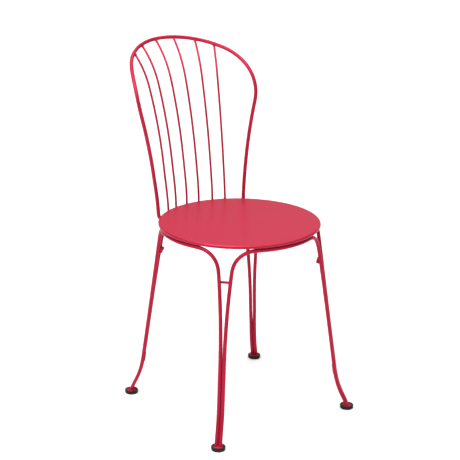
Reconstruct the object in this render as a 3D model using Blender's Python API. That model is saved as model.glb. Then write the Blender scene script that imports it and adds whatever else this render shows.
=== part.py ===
"""Garden bistro chair of bent steel rod: a round sheet seat, four leg bows, a hoop back.

Units are metres and +Z is up. The sitter faces -Y, and the sitter's left is +X.
The floor is z = 0, and the origin is the middle of the chair's box on the floor.

The legs and the back both lie on surfaces turned about the seat's upright axis, so each
rod is drawn first as a flat path (distance round the surface, height) and then wrapped.
Azimuths are measured from the rear (+Y), positive towards the sitter's left (+X).
"""
import math

import bmesh
import bpy
from mathutils import Vector

# Rod and sheet stock
BOW_ROD = 0.0090            # diameter of the leg bow rod
HOOP_ROD = 0.0092           # diameter of the back hoop rod
SPINDLE_ROD = 0.0054        # diameter of a back spindle
STOP_ROD = 0.0062           # diameter of a stacking stop's rod
SEAT_SHEET = 0.0016         # thickness of the seat's sheet
TOUCH = 0.0003              # gap between two pieces that touch

# Seat pan, a disc with its edge rolled into a bead
SEAT_HEIGHT = 0.4578        # floor to the top of the seat
SEAT_RADIUS = 0.1900
RIM_BEAD = 0.0084           # height of the rolled edge

# Flat bar ring under the pan, which the bows and the hoop are welded to
RING_BAR = 0.0040           # thickness of the bar
RING_WIDTH = 0.0090         # height of the bar
BOW_INSET = 0.0070          # centre of a bow's top, in from the seat's edge
BOW_DROP = 0.0100           # centre of a bow's top, down from the centre of the rim's bead

# Legs: the profile that each pair of rods follows, seen from the side
LEG_LEAN = math.radians(8.3)
CURL_START = 0.0950         # height where the foot curl begins
CURL_RADIUS = 0.2000
CURL_LEAN = math.radians(27.0)        # of the rods where they reach the foot
ROD_TIP = 0.0040            # upright end of a rod on its foot disc
CORNER = math.radians(45.9)           # azimuth of a leg, measured from the front or the rear

# Legs: the two rods of a leg, seen from outside
FRONT_JOIN = 0.1780         # height below which the two rods of a front leg run straight
FRONT_PARTING = 2.2600      # radius of the long slow bend that parts them above it
REAR_JOIN = 0.1750
REAR_PARTING = 2.0000
REAR_SLIT = 0.0005          # how far each rod of a rear leg stands off between its weld and there
SLIT_HEIGHT = 0.1500        # where the slit above a weld has its full width
BOW_BEND = 0.0500           # radius of the bend from the leg to the seat

# Stacking stops, a short cross rod on the inner side of each leg
FRONT_STOP_HEIGHT = 0.3702
REAR_STOP_HEIGHT = 0.3755
STOP_LENGTH = 0.0320

# Feet, a steel disc on each leg in a black glide
DISC_RADIUS = 0.0135
DISC_THICKNESS = 0.0032
DISC_EDGE = 0.0006          # chamfer round the disc
GLIDE_RADIUS = 0.0161
GLIDE_BASE = 0.0148         # radius of the flat that stands on the floor
GLIDE_BELLY = 0.0054        # height of the widest part
GLIDE_FLOOR = 0.0040        # thickness under the disc
GLIDE_LIP = 0.0010          # thickness over the disc's edge
LIP_REACH = 0.0012          # how far the lip covers the disc

# Back: the profile of its middle, seen from the side
BACK_RADIUS = 0.1936        # distance from the seat's axis, at the seat's height
BACK_LEAN = math.radians(3.94)
BACK_BEND = 1.1270          # radius of the long slow bend
BACK_BEND_LENGTH = 0.2990
BACK_FLARE = 0.2280         # radius of the flare above it

# Back: its section, an arc whose centre moves back as the back rises
SECTION_SHIFT_RATIO = 0.2324          # how far the centre moves for each metre along the profile
SECTION_LEVEL = 0.1663      # distance along the profile where it is on the seat's axis

# Back hoop, half of its flat outline
HOOP_FOOT = 0.1349          # half the width at the seat's height
HOOP_SPLAY = math.radians(3.4)
HOOP_SIDE_BEND = 0.8400     # radius of the outward bend of a side
HOOP_SIDE = 0.2502          # length of a side
SHOULDER_BEND = 0.1110
CROWN_ANGLE = math.radians(60.0)      # of the rod from upright where the crown begins

# Spindles
SPINDLE_PLACES = (-2.46, -1.54, -0.5, 0.5, 1.54, 2.46)    # in spindle angles from the middle
SPINDLE_ANGLE = math.radians(8.82)    # between the middle two at the seat
SPINDLE_FAN_ANGLE = math.radians(2.79)          # what that angle gains up to the crown
SPINDLE_FOOT_BEND = 0.0050  # radius of the bend under the seat's edge

# The feet of the hoop and the spindles are drawn in towards the seat's edge
DRAW_IN = 0.1000            # length over which they are
HOOP_STAND_OFF = 0.0038     # from the seat's edge to the hoop's rod

# Weld beads that close the gap between a leg's two rods
WELD_BEAD = 0.0030
WELD_LENGTH = 0.0260
WELD_HEIGHT = 0.0990        # of a bead's middle

# Finishes: base colour, roughness and clear coat
RED_COAT = ((0.600, 0.015, 0.056), 0.46, 0.05)
BLACK_RUBBER = ((0.012, 0.016, 0.014), 0.62, 0.0)

# Fineness of the meshes
TURN_STEPS = 72             # sides of the pan and the ring
FOOT_STEPS = 24             # sides of a disc or a glide
CURL_STEPS = 6              # pieces of a leg's foot curl
PARTING_STEPS = 6           # pieces of the slow bend that parts the rods
BEND_STEPS = 10             # pieces of a bow's bend
TOP_STEPS = 12              # pieces of a bow's arc under the seat
SIDE_STEPS = 10             # pieces of a side of the hoop
SHOULDER_STEPS = 12         # pieces of a shoulder of the hoop
CROWN_STEPS = 6             # pieces of half the crown
SPINDLE_STEPS = 16          # pieces of a spindle above the seat
HOOK_STEPS = 4              # pieces of a bend under the seat's edge
BEAD_STEPS = 10             # pieces of the rim bead's section
THICK_ROD_STEPS = 3         # bevel resolution that gives ten sides
THIN_ROD_STEPS = 2          # bevel resolution that gives eight sides

# Places that follow from the sizes above
PAN_UNDERSIDE = SEAT_HEIGHT - SEAT_SHEET
BEAD_CENTRE = (SEAT_RADIUS - RIM_BEAD / 2, SEAT_HEIGHT - RIM_BEAD / 2)
BOW_RADIUS = SEAT_RADIUS - BOW_INSET
BOW_TOP = BEAD_CENTRE[1] - BOW_DROP
RING_TOP = PAN_UNDERSIDE - TOUCH
RING_BOTTOM = RING_TOP - RING_WIDTH
RING_OVERHANG = max(RING_BOTTOM - BOW_TOP, 0.0)
RING_OUTSIDE = BOW_RADIUS - math.sqrt(max((BOW_ROD / 2 + TOUCH) ** 2 - RING_OVERHANG ** 2, 0.0))
HOOP_FOOT_BEND = (RIM_BEAD + HOOP_ROD) / 2 + TOUCH
HOOP_END_HEIGHT = BEAD_CENTRE[1] - HOOP_FOOT_BEND
DISC_BOTTOM = GLIDE_FLOOR + TOUCH
DISC_TOP = DISC_BOTTOM + DISC_THICKNESS
ROD_FOOT = DISC_TOP + TOUCH
PAIR_HALF = (BOW_ROD + TOUCH) / 2
WELD_TOP = WELD_HEIGHT + WELD_LENGTH / 2
FRONT_SPREAD = (FRONT_JOIN, FRONT_PARTING, 0.0)
REAR_SPREAD = (REAR_JOIN, REAR_PARTING, REAR_SLIT)


def arc(start, heading, radius, sweep, steps):
    """Points along a flat arc after its start, and the heading at its end.

    A heading is the angle from the second axis towards the first. A positive sweep
    turns towards the first axis.
    """
    side = math.copysign(1.0, sweep)
    centre_u = start[0] + side * radius * math.cos(heading)
    centre_v = start[1] - side * radius * math.sin(heading)
    points = []
    for step in range(1, steps + 1):
        angle = heading + sweep * step / steps
        points.append((centre_u - side * radius * math.cos(angle), centre_v + side * radius * math.sin(angle)))
    return points, heading + sweep


def around(radius, azimuth, height):
    """The point at a radius, an azimuth and a height about the seat's axis."""
    return Vector((radius * math.sin(azimuth), radius * math.cos(azimuth), height))


# Legs

def leg_radius(height):
    """Distance of a leg's rods from the seat's axis at a height."""
    radius = BOW_RADIUS + (BOW_TOP - max(height, CURL_START)) * math.tan(LEG_LEAN)
    if height >= CURL_START:
        return radius
    curl_end = CURL_START - CURL_RADIUS * (math.sin(CURL_LEAN) - math.sin(LEG_LEAN))
    drop = CURL_START - max(height, curl_end)
    lean = math.asin(math.sin(LEG_LEAN) + drop / CURL_RADIUS)
    radius += CURL_RADIUS * (math.cos(LEG_LEAN) - math.cos(lean))
    return radius + max(curl_end - height, 0.0) * math.tan(CURL_LEAN)


FOOT_RADIUS = leg_radius(ROD_FOOT + ROD_TIP)


def half_bow(spread):
    """Half of a flat bow from its foot to the end of its bend, as (across, height) points.

    The spread is the height where the leg's two rods part, the radius of their bend
    and the slit below it.
    """
    join, parting, slit = spread
    curl_end = CURL_START - CURL_RADIUS * (math.sin(CURL_LEAN) - math.sin(LEG_LEAN))
    points = [(PAIR_HALF, ROD_FOOT + ROD_TIP)]
    for step in range(CURL_STEPS + 1):
        points.append((PAIR_HALF, curl_end + (CURL_START - curl_end) * step / CURL_STEPS))
    points += [(PAIR_HALF, WELD_TOP), (PAIR_HALF + slit, SLIT_HEIGHT), (PAIR_HALF + slit, join)]
    lean = math.asin((BOW_TOP - BOW_BEND - join) / (parting - BOW_BEND))
    parted, _ = arc(points[-1], 0.0, parting, lean, PARTING_STEPS)
    bend, _ = arc(parted[-1], lean, BOW_BEND, math.pi / 2 - lean, BEND_STEPS)
    return points + parted + bend


def bow_path(middle, half_angle, spreads):
    """Path of a bow: foot, leg, bend, the arc under the seat, and down again.

    The first of the spreads is that of the leg at the greater azimuth.
    """
    sides = []
    for spread in spreads:
        side = [(half_angle - PAIR_HALF / FOOT_RADIUS, FOOT_RADIUS, ROD_FOOT)]
        for across, height in half_bow(spread):
            side.append((half_angle - across / leg_radius(height), leg_radius(height), height))
        sides.append(side)
    down = [(-angle, radius, height) for angle, radius, height in reversed(sides[1])]
    start, end = sides[0][-1][0], down[0][0]
    top = [(start + (end - start) * step / TOP_STEPS, BOW_RADIUS, BOW_TOP) for step in range(1, TOP_STEPS)]
    return [around(radius, middle + angle, height) for angle, radius, height in sides[0] + top + down]


def leg_point(corner, inward, across, height):
    """A point near a leg: its distance in from the rods, and along the line through the two rods."""
    centre = around(leg_radius(height) - inward, corner, height)
    return centre + Vector((math.cos(corner), -math.sin(corner), 0.0)) * across


def rod_spread(height, spread):
    """Distance of either rod from the middle of its leg, above the join."""
    join, parting, slit = spread
    return PAIR_HALF + slit + parting - math.sqrt(parting ** 2 - (height - join) ** 2)


def inward_of_rods(height, spread, clear):
    """Distance in from a leg's middle to a cross piece that clears the axes of its two rods."""
    radius = leg_radius(height)
    return radius * (1 - math.cos(spread / radius)) + clear / math.cos(LEG_LEAN)


def stop_path(corner, height, spread):
    """Path of a stacking stop, level across the two rods of a leg."""
    clear = (BOW_ROD + STOP_ROD) / 2 + TOUCH
    inward = inward_of_rods(height, rod_spread(height, spread), clear)
    return [leg_point(corner, inward, STOP_LENGTH * share, height) for share in (-0.5, 0.5)]


def weld_path(corner):
    """Straight path of the weld bead in the inner groove between a leg's two rods."""
    clear = math.sqrt(((BOW_ROD + WELD_BEAD) / 2 + TOUCH) ** 2 - PAIR_HALF ** 2)
    path = []
    for share in (-0.5, 0.5):
        height = WELD_HEIGHT + WELD_LENGTH * share
        path.append(leg_point(corner, inward_of_rods(height, PAIR_HALF, clear), 0.0, height))
    return path


# Back

def back_profile(along):
    """Radius and height of the back's middle at a distance along its profile from the seat."""
    slow = min(along, BACK_BEND_LENGTH)
    bent = BACK_LEAN + slow / BACK_BEND
    radius = BACK_RADIUS + BACK_BEND * (math.cos(BACK_LEAN) - math.cos(bent))
    height = SEAT_HEIGHT + BACK_BEND * (math.sin(bent) - math.sin(BACK_LEAN))
    flared = bent + (along - slow) / BACK_FLARE
    radius += BACK_FLARE * (math.cos(bent) - math.cos(flared))
    height += BACK_FLARE * (math.sin(flared) - math.sin(bent))
    return radius, height


def section(along):
    """Centre and radius of the back's section at a distance along its profile."""
    centre = SECTION_SHIFT_RATIO * (along - SECTION_LEVEL)
    return centre, back_profile(along)[0] - centre


def back_point(angle, along):
    """The point of the back's surface at an angle round its section."""
    centre, radius = section(along)
    return Vector((radius * math.sin(angle), centre + radius * math.cos(angle), back_profile(along)[1]))


def drawn_in(point, along, clear):
    """A point of the back's rod, drawn in near the seat to a distance from the seat's edge."""
    share = max(1 - along / DRAW_IN, 0.0) ** 2
    scale = 1 + share * ((SEAT_RADIUS + clear) / math.hypot(point.x, point.y) - 1)
    return Vector((point.x * scale, point.y * scale, point.z))


def hoop_outline():
    """Half of the flat hoop from the seat up to the crown, as (across, along) points."""
    points = [(HOOP_FOOT, 0.0)]
    side, heading = arc(points[-1], HOOP_SPLAY, HOOP_SIDE_BEND, HOOP_SIDE / HOOP_SIDE_BEND, SIDE_STEPS)
    points += side
    shoulder, heading = arc(points[-1], heading, SHOULDER_BEND, -(heading + CROWN_ANGLE), SHOULDER_STEPS)
    points += shoulder
    crown_radius = points[-1][0] / math.cos(CROWN_ANGLE)
    crown, heading = arc(points[-1], heading, crown_radius, CROWN_ANGLE - math.pi / 2, CROWN_STEPS)
    return points + crown


def foot_path(top, bend, end_radius, end_height):
    """Path in under the seat's edge, from a welded end up to an upright's lowest point."""
    radius = math.hypot(top.x, top.y)
    azimuth = math.atan2(top.x, top.y)
    path = [around(end_radius, azimuth, end_height)]
    for step in range(HOOK_STEPS + 1):
        angle = math.pi / 2 * step / HOOK_STEPS
        path.append(around(radius - bend + bend * math.sin(angle), azimuth,
                           end_height + bend - bend * math.cos(angle)))
    return path


def hoop_path():
    """Path of the hoop: in under the seat, up one side, over the crown and down the other."""
    clear = HOOP_ROD / 2 + HOOP_STAND_OFF
    rising = [drawn_in(back_point(across / section(along)[1], along), along, clear)
              for across, along in hoop_outline()]
    foot = foot_path(rising[0], HOOP_FOOT_BEND, RING_OUTSIDE + TOUCH, HOOP_END_HEIGHT)
    side = foot + rising
    return side + [Vector((-point.x, point.y, point.z)) for point in reversed(side[:-1])]


def spindle_angle(place, along):
    """Angle round the section of a spindle that is so many spindle angles from the middle."""
    crest = hoop_outline()[-1][1]
    return place * (SPINDLE_ANGLE + SPINDLE_FAN_ANGLE * along / crest)


def spindle_length(place):
    """Distance along the profile where a spindle meets the underside of the hoop."""
    outline = hoop_outline()
    for inner, outer in zip(outline[::-1], outline[-2::-1]):
        miss = [abs(spindle_angle(place, along)) * section(along)[1] - across for across, along in (inner, outer)]
        if miss[0] >= 0.0 >= miss[1]:
            share = miss[0] / (miss[0] - miss[1])
            meet = inner[1] + share * (outer[1] - inner[1])
            slope = math.hypot(1.0, (outer[1] - inner[1]) / (outer[0] - inner[0]))
            return meet - (HOOP_ROD / 2 + TOUCH) * slope - SPINDLE_ROD / 2 * abs(slope ** 2 - 1) ** 0.5
    return outline[-1][1]


def spindle_path(place):
    """Path of a spindle: from the rear bow under the seat up to the hoop."""
    top = spindle_length(place)
    clear = SPINDLE_ROD / 2 + TOUCH
    rising = []
    for step in range(SPINDLE_STEPS + 1):
        along = top * step / SPINDLE_STEPS
        rising.append(drawn_in(back_point(spindle_angle(place, along), along), along, clear))
    return foot_path(rising[0], SPINDLE_FOOT_BEND, BOW_RADIUS + BOW_ROD / 2 + TOUCH, BOW_TOP) + rising


# The frame's origin is the middle of the floor space, from the front feet to the hoop's crest
FRONT_REACH = FOOT_RADIUS * math.cos(CORNER) + GLIDE_RADIUS
REAR_REACH = back_point(0.0, hoop_outline()[-1][1]).y + HOOP_ROD / 2
AXIS_Y = (FRONT_REACH - REAR_REACH) / 2


# Making of the pieces

def coating(name, colour, roughness, coat):
    """A plain Principled material."""
    material = bpy.data.materials.new(name)
    material.use_nodes = True
    shader = material.node_tree.nodes["Principled BSDF"]
    shader.inputs["Base Color"].default_value = (*colour, 1.0)
    shader.inputs["Roughness"].default_value = roughness
    shader.inputs["Metallic"].default_value = 0.0
    shader.inputs["Coat Weight"].default_value = coat
    return material


def place(name, data, material, axis, location=(0.0, 0.0, 0.0)):
    """Put a piece on the seat's axis frame with its own copy of a material."""
    own = material.copy()
    own.name = name
    data.materials.append(own)
    item = bpy.data.objects.new(name, data)
    item.parent = axis
    item.location = location
    bpy.context.scene.collection.objects.link(item)
    return item


def rod(name, path, diameter, sides, material, axis):
    """A round rod along a path, closed at both ends."""
    curve = bpy.data.curves.new(name, "CURVE")
    curve.dimensions = "3D"
    curve.bevel_depth = diameter / 2
    curve.bevel_resolution = sides
    curve.use_fill_caps = True
    spline = curve.splines.new("POLY")
    spline.points.add(len(path) - 1)
    for knot, point in zip(spline.points, path):
        knot.co = (*point, 1.0)
    return place(name, curve, material, axis)


def turned(name, profile, steps, material, axis, location=(0.0, 0.0, 0.0)):
    """A solid turned about an upright axis from (radius, height) points.

    A profile that starts and ends on the axis gives a full solid, and any other closes
    on itself and gives a ring.
    """
    shape = bmesh.new()
    knots = [shape.verts.new((radius, 0.0, height)) for radius, height in profile]
    edges = [shape.edges.new(pair) for pair in zip(knots, knots[1:])]
    if profile[0][0] > 0.0:
        edges.append(shape.edges.new((knots[-1], knots[0])))
    bmesh.ops.spin(shape, geom=knots + edges, axis=(0, 0, 1), cent=(0, 0, 0), angle=math.tau,
                   steps=steps, use_merge=True)
    bmesh.ops.remove_doubles(shape, verts=shape.verts, dist=1e-6)
    bmesh.ops.dissolve_degenerate(shape, edges=shape.edges, dist=1e-7)
    bmesh.ops.recalc_face_normals(shape, faces=shape.faces)
    mesh = bpy.data.meshes.new(name)
    shape.to_mesh(mesh)
    shape.free()
    mesh.shade_smooth()
    mesh.set_sharp_from_angle(angle=math.radians(40))
    return place(name, mesh, material, axis, location)


def seat_pan_profile():
    """Half section of the pan: the flat sheet and the bead round its edge."""
    bead = RIM_BEAD / 2
    radius, height = BEAD_CENTRE
    hidden = math.acos((PAN_UNDERSIDE - height) / bead)
    points = [(0.0, PAN_UNDERSIDE), (radius - bead * math.sin(hidden), PAN_UNDERSIDE)]
    for step in range(1, BEAD_STEPS + 1):
        angle = -hidden - (math.tau - hidden) * step / BEAD_STEPS
        points.append((radius + bead * math.sin(angle), height + bead * math.cos(angle)))
    return points + [(0.0, SEAT_HEIGHT)]


def seat_ring_profile():
    """Section of the flat bar ring."""
    inside = RING_OUTSIDE - RING_BAR
    return [(inside, RING_BOTTOM), (RING_OUTSIDE, RING_BOTTOM), (RING_OUTSIDE, RING_TOP), (inside, RING_TOP)]


def disc_profile():
    """Half section of a foot disc."""
    edge = DISC_RADIUS - DISC_EDGE
    return [(0.0, DISC_BOTTOM), (edge, DISC_BOTTOM), (DISC_RADIUS, DISC_BOTTOM + DISC_EDGE),
            (DISC_RADIUS, DISC_TOP - DISC_EDGE), (edge, DISC_TOP), (0.0, DISC_TOP)]


def glide_profile():
    """Half section of a glide: a cup with a lip that holds the disc."""
    recess = DISC_RADIUS + TOUCH
    lip = DISC_RADIUS - LIP_REACH
    lip_under = DISC_TOP + TOUCH
    top = lip_under + GLIDE_LIP
    return [(0.0, 0.0), (GLIDE_BASE, 0.0), (GLIDE_RADIUS, GLIDE_BELLY), (GLIDE_RADIUS, lip_under),
            (recess, top), (lip, top), (lip, lip_under), (recess, lip_under), (recess, GLIDE_FLOOR),
            (0.0, GLIDE_FLOOR)]


def main():
    """Model every piece of the chair."""
    for item in list(bpy.data.objects):
        bpy.data.objects.remove(item, do_unlink=True)
    axis = bpy.data.objects.new("seat_axis", None)
    axis.location = (0.0, AXIS_Y, 0.0)
    bpy.context.scene.collection.objects.link(axis)

    red = coating("red_powder_coat", *RED_COAT)
    black = coating("black_rubber", *BLACK_RUBBER)

    turned("seat_pan", seat_pan_profile(), TURN_STEPS, red, axis)
    turned("seat_ring", seat_ring_profile(), TURN_STEPS, red, axis)

    side_half = math.pi / 2 - CORNER
    bows = {"rear": (0.0, CORNER, (REAR_SPREAD, REAR_SPREAD)),
            "left": (math.pi / 2, side_half, (FRONT_SPREAD, REAR_SPREAD)),
            "front": (math.pi, CORNER, (FRONT_SPREAD, FRONT_SPREAD)),
            "right": (-math.pi / 2, side_half, (REAR_SPREAD, FRONT_SPREAD))}
    for name, (middle, half_angle, spreads) in bows.items():
        path = bow_path(middle, half_angle, spreads)
        rod(f"{name}_leg_bow", path, BOW_ROD, THICK_ROD_STEPS, red, axis)

    corners = {"front_left": math.pi - CORNER, "front_right": math.pi + CORNER,
               "rear_left": CORNER, "rear_right": -CORNER}
    for name, corner in corners.items():
        front = name.startswith("front")
        stop_height = FRONT_STOP_HEIGHT if front else REAR_STOP_HEIGHT
        stop = stop_path(corner, stop_height, FRONT_SPREAD if front else REAR_SPREAD)
        rod(f"{name}_stacking_stop", stop, STOP_ROD, THIN_ROD_STEPS, red, axis)
        rod(f"{name}_leg_weld", weld_path(corner), WELD_BEAD, THIN_ROD_STEPS, red, axis)
        foot = around(FOOT_RADIUS, corner, 0.0)
        turned(f"{name}_foot_disc", disc_profile(), FOOT_STEPS, red, axis, foot)
        turned(f"{name}_glide", glide_profile(), FOOT_STEPS, black, axis, foot)

    rod("back_hoop", hoop_path(), HOOP_ROD, THICK_ROD_STEPS, red, axis)
    for number, offset in enumerate(SPINDLE_PLACES, start=1):
        rod(f"back_spindle_{number}", spindle_path(offset), SPINDLE_ROD, THIN_ROD_STEPS, red, axis)


main()
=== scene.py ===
"""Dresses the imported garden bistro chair: bent rod legs, a sheet seat and a hoop back in red.

Units are metres and +Z is up. The sitter faces -Y, and the sitter's left is +X. Every piece is
worked out about the seat's upright axis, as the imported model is, and then set on that axis.

The legs and the back lie on surfaces turned about the seat's axis, so each rod is drawn first as
a flat path (distance round the surface, height) and then wrapped. Azimuths are measured from the
rear (+Y), positive towards the sitter's left (+X).
"""
from __future__ import annotations

import logging
import math
from dataclasses import dataclass, field
from enum import Enum
from typing import Sequence, Union

import bmesh
import bpy
from mathutils import Matrix, Vector, noise

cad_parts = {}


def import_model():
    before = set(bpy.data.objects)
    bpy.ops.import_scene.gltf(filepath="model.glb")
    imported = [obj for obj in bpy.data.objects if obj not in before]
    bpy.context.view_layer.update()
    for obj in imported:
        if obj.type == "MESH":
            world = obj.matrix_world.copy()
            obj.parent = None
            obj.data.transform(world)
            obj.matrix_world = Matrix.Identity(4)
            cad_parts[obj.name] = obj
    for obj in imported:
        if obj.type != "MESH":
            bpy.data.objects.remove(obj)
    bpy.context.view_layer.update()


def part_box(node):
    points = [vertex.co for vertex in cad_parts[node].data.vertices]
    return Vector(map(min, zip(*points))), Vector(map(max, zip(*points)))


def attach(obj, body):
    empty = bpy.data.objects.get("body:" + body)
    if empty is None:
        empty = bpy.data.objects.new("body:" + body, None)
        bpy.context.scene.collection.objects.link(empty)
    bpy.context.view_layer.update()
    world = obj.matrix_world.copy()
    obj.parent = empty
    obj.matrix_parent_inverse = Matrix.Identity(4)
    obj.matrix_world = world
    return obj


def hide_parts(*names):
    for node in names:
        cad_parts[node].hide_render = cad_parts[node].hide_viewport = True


LOG = logging.getLogger("bistro_chair")
UP = Vector((0.0, 0.0, 1.0))
ORIGIN = Vector((0.0, 0.0, 0.0))
QUARTER = math.pi / 2
ON_AXIS = 1e-7              # a smaller radius counts as on the axis

Flat = tuple[float, float]
Colour = tuple[float, float, float]


# Paths

def arc(start: Flat, heading: float, radius: float, sweep: float, steps: int) -> tuple[list[Flat], float]:
    """Follow a flat arc.

    Args:
        start: The point before the arc, as (first axis, second axis).
        heading: The angle of travel from the second axis towards the first.
        radius: The arc's radius.
        sweep: The angle turned, positive towards the first axis.
        steps: How many points to make.

    Returns:
        The points after the start, and the heading at the end.
    """
    side = math.copysign(1.0, sweep)
    centre_u = start[0] + side * radius * math.cos(heading)
    centre_v = start[1] - side * radius * math.sin(heading)
    points = []
    for step in range(1, steps + 1):
        angle = heading + sweep * step / steps
        points.append((centre_u - side * radius * math.cos(angle),
                       centre_v + side * radius * math.sin(angle)))
    return points, heading + sweep


def around(radius: float, azimuth: float, height: float) -> Vector:
    """The point at a radius, an azimuth and a height about the seat's axis."""
    return Vector((radius * math.sin(azimuth), radius * math.cos(azimuth), height))


def from_front(radius: float, turn: float, height: float) -> Vector:
    """The point at a radius, an angle measured from the front and a height."""
    return Vector((radius * math.sin(turn), -radius * math.cos(turn), height))


def level_across(azimuth: float) -> Vector:
    """The level direction at right angles to an azimuth."""
    return Vector((math.cos(azimuth), -math.sin(azimuth), 0.0))


def evenly(path: Sequence[Vector], spacing: float) -> list[Vector]:
    """Place points evenly along a path.

    Args:
        path: The path's knots.
        spacing: About how far apart the new points lie.

    Returns:
        The new points, from the first knot to the last.
    """
    lengths = [0.0]
    for before, after in zip(path, path[1:]):
        lengths.append(lengths[-1] + (after - before).length)
    steps = max(2, round(lengths[-1] / spacing))
    points, knot = [], 0
    for step in range(steps + 1):
        target = lengths[-1] * step / steps
        while knot < len(path) - 2 and lengths[knot + 1] < target:
            knot += 1
        run = lengths[knot + 1] - lengths[knot]
        share = (target - lengths[knot]) / run if run > 0.0 else 0.0
        points.append(path[knot].lerp(path[knot + 1], share))
    return points


def eased(path: Sequence[Vector], passes: int) -> list[Vector]:
    """Ease the corners of an evenly spaced path, as a bending machine leaves them.

    Args:
        path: The points.
        passes: How often each point moves halfway to the middle of its neighbours.

    Returns:
        The eased points, with both ends where they were.
    """
    points = list(path)
    for _ in range(passes):
        inner = [(before + here * 2 + after) / 4
                 for before, here, after in zip(points, points[1:], points[2:])]
        points = [points[0], *inner, points[-1]]
    return points


def lumpy(point: Vector, size: float, depth: float) -> float:
    """A smooth random height at a point, for hand-made welds: lumps of a size, up to a depth."""
    return depth * noise.noise(point / size)


# Surfaces

@dataclass(frozen=True)
class WeldHand:
    """How the welder's beads and lumps of weld look."""

    ripple: float = 0.0016          # distance between the ripples of a bead
    ripple_steps: int = 4
    ripple_height: float = 0.10     # as a share of the bead's radius
    bead_tip: float = 0.12          # how blunt a bead ends
    bead_lump: float = 0.0020
    bead_rough: float = 0.12        # as a share of the bead's radius
    bead_sides: int = 12
    nugget_lump: float = 0.0022
    nugget_rough: float = 0.22      # as a share of the nugget's size
    nugget_cap: float = 0.04        # the part of its height that is cut off at either end
    nugget_rows: int = 9
    nugget_sides: int = 16


HAND = WeldHand()


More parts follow.
